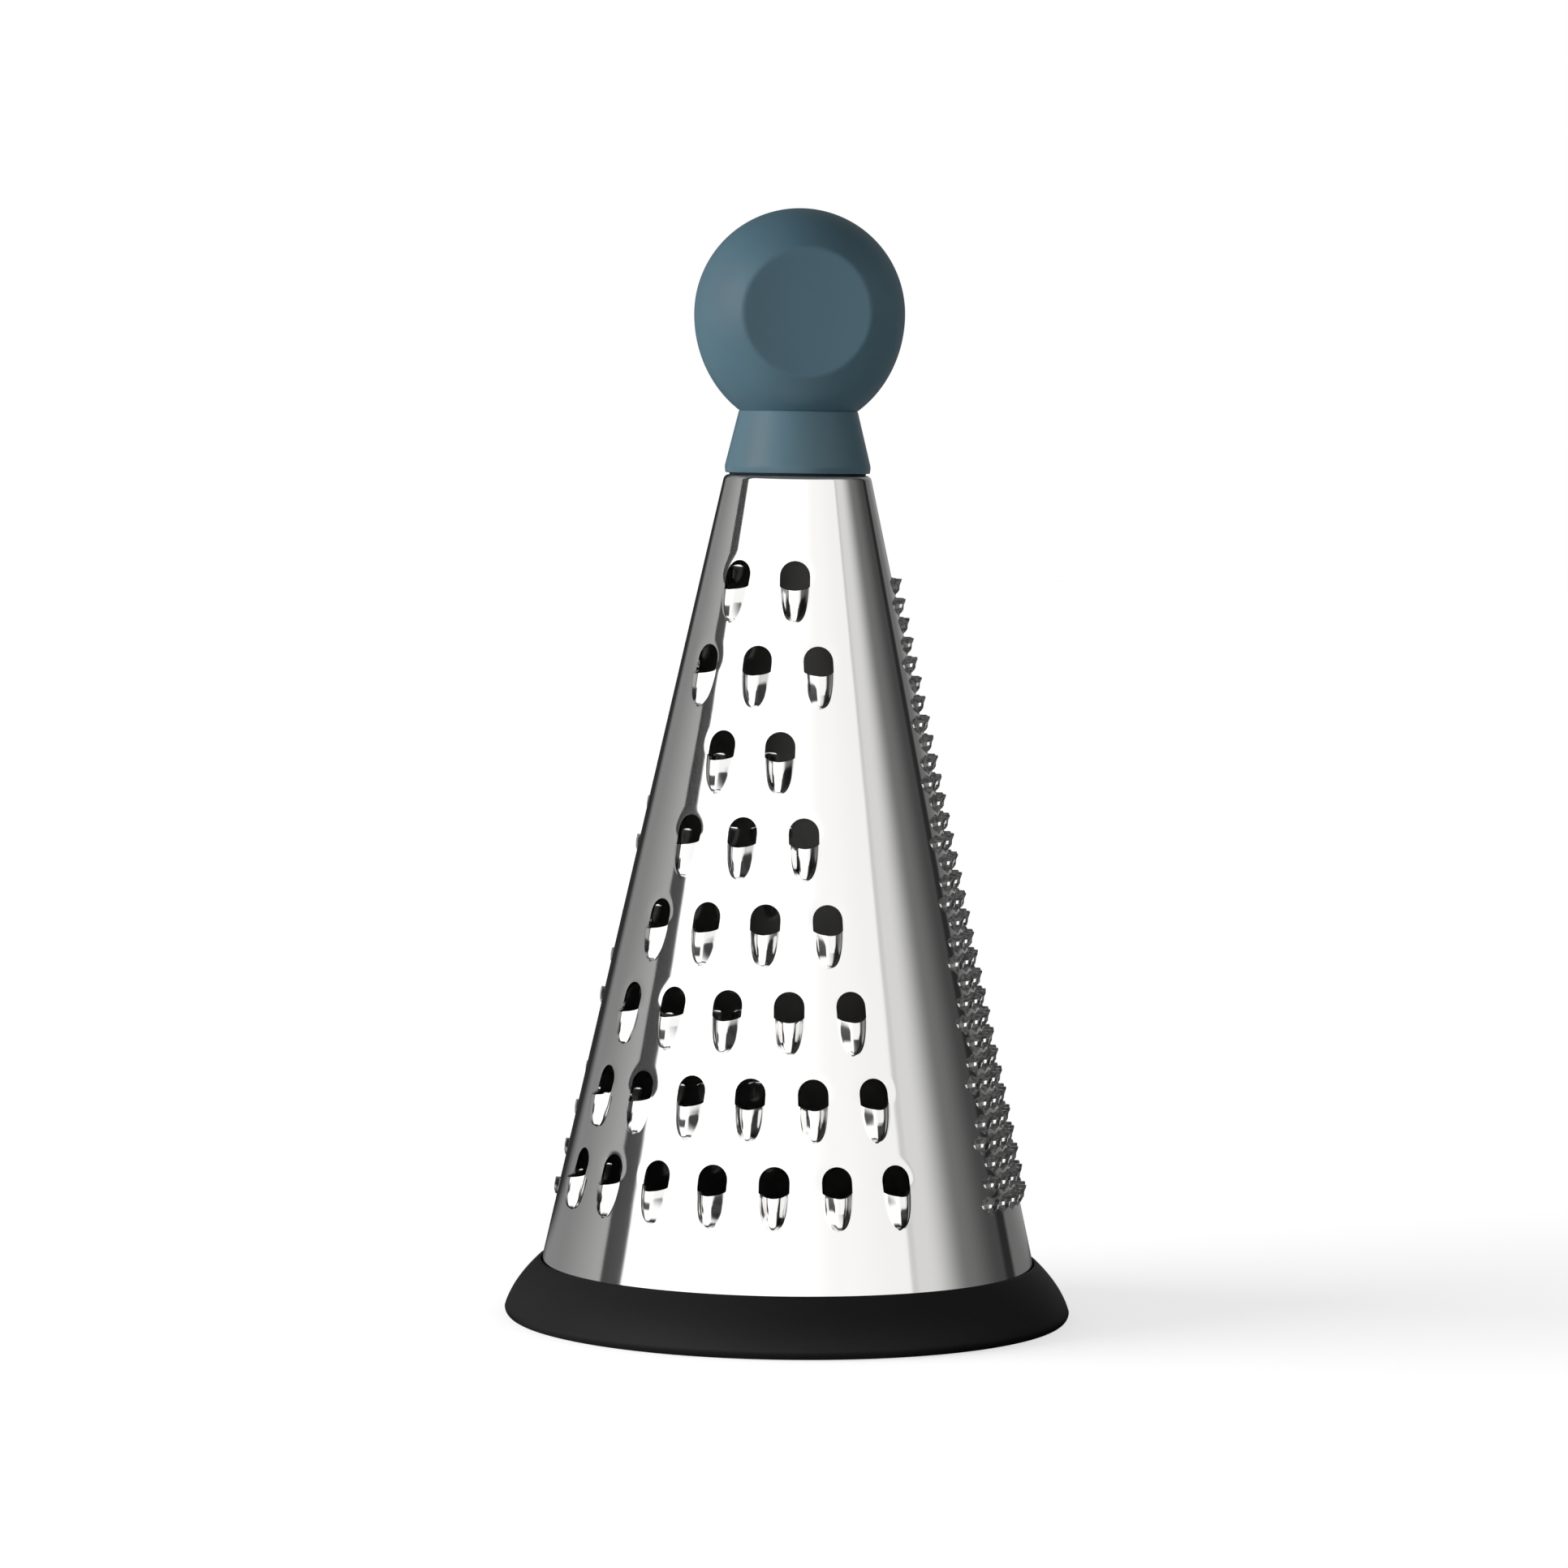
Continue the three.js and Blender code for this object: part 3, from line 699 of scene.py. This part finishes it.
def spin(form, profile, steps):
    """Adds to a form what a profile of radii and heights sweeps round the upright axis. The profile is
    closed, unless it starts on the axis."""
    line = [form.verts.new((r * MM, 0, z * MM)) for r, z in profile]
    closing = [(line[-1], line[0])] if profile[0][0] > 0 else []
    edges = [form.edges.new(pair) for pair in [*zip(line, line[1:]), *closing]]
    bmesh.ops.spin(
        form, geom=line + edges, axis=(0, 0, 1), cent=(0, 0, 0), steps=steps, angle=math.tau, use_merge=True
    )
    bmesh.ops.remove_doubles(form, verts=form.verts, dist=1e-7)


def turned(name, profile, steps=128):
    """A piece turned about the upright axis from a profile of radii and heights"""
    form = bmesh.new()
    spin(form, profile, steps)
    mesh = bpy.data.meshes.new(name)
    finished(form, mesh)
    return place(name, mesh)


def fitted(piece, node, material):
    """Gives a finished piece its material, and lets it stand for its node"""
    piece.data.materials.append(material)
    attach(piece, "root")
    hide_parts(node)


def moulded(name, color, roughness, grain_scale, grain_depth, mottle=0.08, specular=0.35):
    """A moulded plastic or rubber: a fine grain, and a colour and sheen that vary a little"""
    sheen_range = 0.08
    material, start = new_finish(name)
    grain = noise(start, scale=grain_scale)
    patches = noise(start, scale=60.0, detail=3.0)
    dark = [c * (1 - mottle) for c in color]
    light = [c * (1 + mottle) for c in color]
    tone = blend(patches, dark, light)
    rough = start.node("ShaderNodeBump", {"Height": grain, "Strength": grain_depth, "Distance": 0.0002})
    sheen = patches * sheen_range + (roughness - sheen_range / 2)
    surface(start, base_color=tone, roughness=sheen, normal=rough, specular_ior_level=specular)
    return material


plug_plastic = moulded(
    "plug_plastic", (0.015, 0.016, 0.018), roughness=0.5, grain_scale=1500.0, grain_depth=0.15
)
shoulder_z = plug_top_z - shoulder_radius
plug = turned(
    "cone_plug_moulding",
    rounded(
        [
            (screw_bore, plug_foot_z, 0.3),
            (cone_radius(plug_foot_z) - gauge_across - fit, plug_foot_z, 0.8),
            (cone_radius(shoulder_z) - gauge_across - fit, shoulder_z, 0.2),
            (land_radius - sheet_gauge, plug_top_z, 0.2),
            (spigot_radius, plug_top_z, 0),
            (spigot_radius, spigot_top_z, 0.5),
            (screw_bore, spigot_top_z, 0.3),
        ]
    ),
)
fitted(plug, "cone_plug", plug_plastic)

# The seal
# A flat rubber gasket between the steel's land and the collar, seen as a dark line.
seal_rubber = moulded(
    "seal_rubber", (0.012, 0.012, 0.014), roughness=0.6, grain_scale=1800.0, grain_depth=0.2
)
seal = turned(
    "seal_ring_gasket",
    rounded(
        [
            (land_bore, cone_top_z, 0),
            (land_radius, cone_top_z, 0.1),
            (land_radius, collar_foot_z, 0.1),
            (land_bore, collar_foot_z, 0),
        ]
    ),
)
fitted(seal, "seal_ring", seal_rubber)

# The collar
# Grey-blue satin plastic, one moulding with the post that carries the knob. A brass insert sits in
# its stepped hole, over the plug's spigot.
collar_height = 12.6
collar_band = 1.3
collar_inset = 0.15
neck_z = collar_foot_z + collar_height
neck_radius = 12.0
post_height = 21.0
post_radius = 8.0
post_top_z = neck_z + post_height
insert_length = 12.0
insert_radius = 3.7
insert_foot_z = spigot_top_z + fit
insert_top_z = insert_foot_z + insert_length
screw_room = 2.0
hole_top_z = insert_top_z + screw_room
collar_plastic = moulded(
    "collar_plastic",
    (0.082, 0.162, 0.205),
    roughness=0.36,
    grain_scale=1600.0,
    grain_depth=0.08,
    mottle=0.04,
    specular=0.42,
)
collar = turned(
    "handle_core_moulding",
    rounded(
        [
            (0, hole_top_z, 0),
            (screw_bore, hole_top_z, 0),
            (screw_bore, insert_top_z + fit, 0),
            (insert_radius + fit, insert_top_z + fit, 0),
            (insert_radius + fit, insert_foot_z, 0),
            (land_bore, insert_foot_z, 0),
            (land_bore, collar_foot_z, 0),
            (cone_top_radius - collar_inset, collar_foot_z, 0.3),
            (cone_top_radius, collar_foot_z + collar_band, 0.4),
            (neck_radius, neck_z, 0.3),
            (post_radius, neck_z, 0),
            (post_radius, post_top_z, 0.5),
            (0, post_top_z, 0),
        ]
    ),
)
fitted(collar, "handle_core", collar_plastic)

# The insert, the washer and the screw
# A grooved brass sleeve set in the post, and a zinc-plated pan-head screw that comes up from inside
# the cone through its washer and the plug, and pulls the whole handle down.
insert_brass, start = new_finish("insert_brass")
surface(start, base_color=(0.6, 0.42, 0.16, 1), metallic=1.0, roughness=0.3)
groove_depth = 0.4
bands = 5
band = insert_length / bands
insert_profile = [(screw_bore, insert_foot_z), (insert_radius, insert_foot_z)]
for k in range(1, bands, 2):
    low = insert_foot_z + band * k
    insert_profile += [(insert_radius, low), (insert_radius - groove_depth, low)]
    insert_profile += [(insert_radius - groove_depth, low + band), (insert_radius, low + band)]
insert_profile += [(insert_radius, insert_top_z), (screw_bore, insert_top_z)]
insert = turned("threaded_insert_sleeve", insert_profile, steps=64)
fitted(insert, "threaded_insert", insert_brass)

screw_steel, start = new_finish("screw_steel")
grain = noise(start, scale=1200.0)
surface(start, base_color=(0.55, 0.55, 0.54, 1), metallic=1.0, roughness=grain * 0.15 + 0.2)
washer_thickness = 1.2
washer_radius = 6.5
washer_foot_z = plug_foot_z - washer_thickness
washer = turned(
    "screw_washer_disc",
    rounded(
        [
            (screw_bore, washer_foot_z, 0.15),
            (washer_radius, washer_foot_z, 0.25),
            (washer_radius, plug_foot_z, 0.15),
            (screw_bore, plug_foot_z, 0),
        ]
    ),
)
fitted(washer, "screw_washer", screw_steel)

head_height = 3.4
head_radius = 4.6
head_foot_z = washer_foot_z - head_height
shank_length = 27.0
shank_radius = 2.45
tip_z = washer_foot_z + shank_length
tip_length = 1.2
tip_radius = 1.2
recess_length = 5.5
recess_width = 1.3
recess_depth = 1.8
screw = turned(
    "handle_screw_body",
    rounded(
        [
            (0, head_foot_z, 0),
            (head_radius, head_foot_z, 1.4),
            (head_radius, washer_foot_z, 0.15),
            (shank_radius, washer_foot_z, 0),
            (shank_radius, tip_z - tip_length, 0.3),
            (tip_radius, tip_z, 0.2),
            (0, tip_z, 0),
        ]
    ),
    steps=64,
)
recess = bmesh.new()
for turn in (0, math.pi / 2):
    size = Matrix.Diagonal((recess_length * MM, recess_width * MM, 2 * recess_depth * MM, 1))
    where = Matrix.Translation((0, 0, head_foot_z * MM)) @ Matrix.Rotation(turn, 4, "Z")
    bmesh.ops.create_cube(recess, size=1, matrix=where @ size)
recess_mesh = bpy.data.meshes.new("recess")
recess.to_mesh(recess_mesh)
recess.free()
cutter = place("recess", recess_mesh)
cut = screw.modifiers.new("recess", "BOOLEAN")
cut.operation = "DIFFERENCE"
cut.solver = "EXACT"
cut.use_self = True
cut.object = cutter
evaluated = screw.evaluated_get(bpy.context.evaluated_depsgraph_get())
screw_mesh = bpy.data.meshes.new_from_object(evaluated)
screw.modifiers.remove(cut)
screw.data = screw_mesh
bpy.data.objects.remove(cutter)
fitted(screw, "handle_screw", screw_steel)

# The knob
# A soft-touch grey-blue ball pressed over the post. Its lower half is drawn down to the neck, and it
# has a shallow round thumb dimple at the front and at the back.
knob_radius = 21.3
knob_drop = 19.45
knob_facing = 24.6
dimple_radius = 12.9
dimple_hollow = 0.8
dimple_edge = 0.7
dimple_margin = 3.6
socket_radius = post_radius + fit
socket_top_z = post_top_z + fit
knob_middle_z = neck_z + knob_drop
lower_half = knob_drop / math.sqrt(1 - (neck_radius / knob_radius) ** 2)
knob_plastic = moulded(
    "knob_plastic", (0.076, 0.152, 0.195), roughness=0.5, grain_scale=2200.0, grain_depth=0.12
)
dimple_flat = math.sqrt(knob_radius**2 - dimple_radius**2)
half_profile = []
for ring in np.linspace(0, dimple_radius - dimple_edge, 14):
    half_profile.append(Vector((ring, dimple_flat - dimple_hollow * (1 - (ring / dimple_radius) ** 2))))
dish_end = half_profile[-1]
rim_angle = math.asin(dimple_radius / knob_radius)
ball_start = rim_angle + dimple_edge / knob_radius
ball = [
    Vector((knob_radius * math.sin(angle), knob_radius * math.cos(angle)))
    for angle in np.linspace(ball_start, math.pi / 2, 24)
]
corner = Vector((dimple_radius, dimple_flat))
for t in np.linspace(0, 1, 7)[1:-1]:
    half_profile.append(dish_end * (1 - t) ** 2 + corner * 2 * t * (1 - t) + ball[0] * t**2)
half_profile += ball
other_half = [Vector((r, -w)) for r, w in reversed(half_profile[:-1])]
knob = turned("knob_ball", half_profile + other_half, steps=160)
form = bmesh.new()
form.from_mesh(knob.data)
drawing = []
for vert in form.verts:
    share = (math.hypot(vert.co.x, vert.co.y) / MM - dimple_radius) / dimple_margin
    share = min(max(share, 0), 1)
    drawing.append(1 + (lower_half / knob_radius - 1) * share**2 * (3 - 2 * share))
aim = Matrix.Rotation(math.radians(knob_facing), 4, "Z") @ Matrix.Rotation(math.pi / 2, 4, "X")
bmesh.ops.transform(form, matrix=aim, verts=form.verts)
for vert, drawn_down in zip(form.verts, drawing):
    if vert.co.z < 0:
        vert.co.z *= drawn_down
    vert.co.z += knob_middle_z * MM
everything = [*form.verts, *form.edges, *form.faces]
neck = Vector((0, 0, neck_z * MM))
bmesh.ops.bisect_plane(form, geom=everything, plane_co=neck, plane_no=(0, 0, 1), clear_inner=True)
spin(form, [(0, socket_top_z), (socket_radius, socket_top_z), (socket_radius, neck_z)], steps=64)
rims = [edge for edge in form.edges if edge.is_boundary]
bmesh.ops.triangle_fill(form, use_beauty=True, edges=rims)
finished(form, knob.data)
fitted(knob, "knob", knob_plastic)

# The foot ring
# Black rubber, moulded with a groove that the sheet's lower edge is pushed into, so that the
# grater doesn't slip or scratch.
ring_height = 11.6
ring_overhang = 5.63
ring_widest = cone_foot_radius + ring_overhang
ring_lip = cone_radius(ring_height) + fit
lip_width = 0.5
inner_wall = 4.4
inner_wall_z = 7.5
groove_inner = cone_radius(ring_floor) - gauge_across - fit
ring_bore = groove_inner - inner_wall
ring_corner = 1.8
ring_bulge = 0.95
flank = []
for share in np.linspace(0, 1, 17)[1:-1]:
    bow = ring_bulge * 4 * share * (1 - share)
    straight = ring_widest + (ring_lip + lip_width - ring_widest) * share
    flank.append((straight + bow, ring_corner + (ring_height - ring_corner) * share, 0))
corner_arc = []
for angle in np.linspace(-math.pi / 2, 0, 9):
    radius = ring_widest - ring_corner + ring_corner * math.cos(angle)
    corner_arc.append((radius, ring_corner + ring_corner * math.sin(angle), 0))
ring_rubber = moulded(
    "ring_rubber",
    (0.009, 0.009, 0.01),
    roughness=0.55,
    grain_scale=1400.0,
    grain_depth=0.2,
    specular=0.22,
)
foot_ring = turned(
    "base_ring_moulding",
    rounded(
        [
            (ring_bore, 0, 0.5),
            *corner_arc,
            *flank,
            (ring_lip + lip_width, ring_height, 0.15),
            (ring_lip, ring_height, 0.1),
            (cone_radius(ring_floor) + fit, ring_floor, 0),
            (groove_inner, ring_floor, 0),
            (cone_radius(inner_wall_z) - gauge_across - fit, inner_wall_z, 0.4),
            (ring_bore, inner_wall_z, 1.2),
        ]
    ),
    steps=192,
)
fitted(foot_ring, "base_ring", ring_rubber)

# The studio
# A white floor under a ring of panels: a broad white one in front with its brightest part at the left,
# a dark gap beside it, grey walls round the back and a slow fall into the dark at the right.
camera_azimuth = math.radians(19.3)


def bearing_of(east, north):
    """Degrees round from the camera to the right, of a direction or of a place on the floor"""
    right = east * math.cos(camera_azimuth) + north * math.sin(camera_azimuth)
    toward = east * math.sin(camera_azimuth) - north * math.cos(camera_azimuth)
    return right.math("ARCTAN2", toward) * (180 / math.pi)


def panels(bearing):
    """How bright the studio is round about: at each edge, in degrees, it goes over to a new level"""
    behind = 0.03
    changes = [
        (-150, 6, 0.26),
        (-116, 22, 0.41),
        (-97.6, 1, 0.03),
        (-84, 1, 1.45),
        (10, 16, 1.15),
        (40, 14, 1.08),
        (61, 1, 0.7),
        (64.5, 1, 0.8),
        (83, 12, 0.19),
        (106, 13, 0.07),
        (124, 2, 0.025),
        (133, 2, 0.165),
        (150, 12, 0.31),
    ]
    total, before = behind, behind
    for edge, softness, level in changes:
        total = step_at(bearing, edge, softness) * (level - before) + total
        before = level
    return total


def between(value, rise, fall):
    """One between two edges, each given with its softness, and zero outside them"""
    return step_at(value, *rise) * (1 - step_at(value, *fall))


def sides(bearing, right_edge):
    """One to the left of the part, one to the right of it: low down the studio is dark there"""
    left = between(bearing, (-112, 6), (-46, 8))
    right = between(bearing, (right_edge, 10), (112, 6))
    return left, right


side_shade = 0.94
floor_glow = 0.66
floor_half = 6000.0
floor_corners = np.array([(-1, -1, 0), (1, -1, 0), (1, 1, 0), (-1, 1, 0)]) * floor_half
floor = place("floor", mesh_of("floor", floor_corners, [(0, 1, 2, 3)]))
floor_white, start = new_finish("floor_white")
path = start.node("ShaderNodeLightPath")
x = start.node("ShaderNodeSeparateXYZ", {0: start.node("ShaderNodeTexCoord", output="Object")})
y = x.also("Y")
round_about = bearing_of(x, y)
away = (x * x + y * y).math("SQRT")
in_front = between(round_about, (-70, 8), (40, 8))
# In what metal sees, the floor is dark near the part, out to just past the foot ring in front and further
# out at the sides and back: painted shade.
clear = in_front * step_at(away, 0.065, 0.012) + (1 - in_front) * step_at(away, 0.14, 0.08)
# Under the part the floor's own glow is cut off: a painted shadow beneath the grater.
beside = step_at(away, 0.05, 0.003)
glow = path.also("Is Camera Ray") * beside * floor_glow
own_glow = start.node("ShaderNodeEmission", {"Strength": glow})
matt = start.node("ShaderNodeBsdfDiffuse", {"Color": (0.9, 0.9, 0.9, 1)})
lit = start.node("ShaderNodeAddShader", {0: own_glow, 1: matt})
left, right = sides(round_about, right_edge=28)
shade = (left * step_at(away, 0.3, 0.1) + right) * side_shade
mirrored = start.node("ShaderNodeEmission", {"Strength": panels(round_about) * clear * (1 - shade)})
in_metal = path.also("Is Glossy Ray")
both = start.node("ShaderNodeMixShader", {0: in_metal, 1: lit, 2: mirrored})
start.node("ShaderNodeOutputMaterial", {"Surface": both})
floor.data.materials.append(floor_white)

lamp_level = 8
ceiling_level = 0.12
soft_level = 0.6
soft_loss = 0.56
world = bpy.data.worlds.new("studio")
world.use_nodes = True
world.node_tree.nodes.clear()
bpy.context.scene.world = world
start = Wire(world.node_tree)
east = start.node("ShaderNodeSeparateXYZ", {0: start.node("ShaderNodeTexCoord", output="Generated")})
bearing = bearing_of(east, east.also("Y"))
elevation = east.also("Z").math("ARCSINE") * (180 / math.pi)
lamp = between(bearing, (-100, 4), (-52, 4)) * between(elevation, (-22, 6), (26, 8)) * lamp_level
ceiling = step_at(elevation, 37, 8)
left, right = sides(bearing, right_edge=46)
shade = (left + right) * (1 - step_at(elevation, 3, 1.5)) * side_shade
metal_light = panels(bearing) * (1 - shade) * (1 - ceiling) + ceiling * ceiling_level
soft_light = soft_level - step_at(elevation, 30, 12) * soft_loss + lamp
path = start.node("ShaderNodeLightPath")
seen = path.also("Is Camera Ray")
in_metal = path.also("Is Glossy Ray")
level = in_metal * metal_light + (1 - in_metal) * soft_light
strength = level * (1 - seen) + seen
light = start.node("ShaderNodeBackground", {"Color": (1, 1, 1, 1), "Strength": strength})
start.node("ShaderNodeOutputWorld", {"Surface": light})

camera_distance = 1140.349
camera_height = 177.848
camera_pitch = math.radians(3.473)
camera_roll = math.radians(0.738)
camera_yaw = math.radians(0.0975)
lens_data = bpy.data.cameras.new("camera")
lens_data.sensor_width = 36.0
lens_data.lens = 129.277
camera = bpy.data.objects.new("camera", lens_data)
bpy.context.scene.collection.objects.link(camera)
swing = Matrix.Rotation(camera_azimuth, 4, "Z")
stand = Matrix.Translation((0, -camera_distance * MM, camera_height * MM))
aim = Matrix.Rotation(camera_yaw, 4, "Z") @ Matrix.Rotation(math.pi / 2 - camera_pitch, 4, "X")
camera.matrix_world = swing @ stand @ aim @ Matrix.Rotation(camera_roll, 4, "Z")
bpy.context.scene.camera = camera
bpy.context.scene.view_settings.view_transform = "Standard"
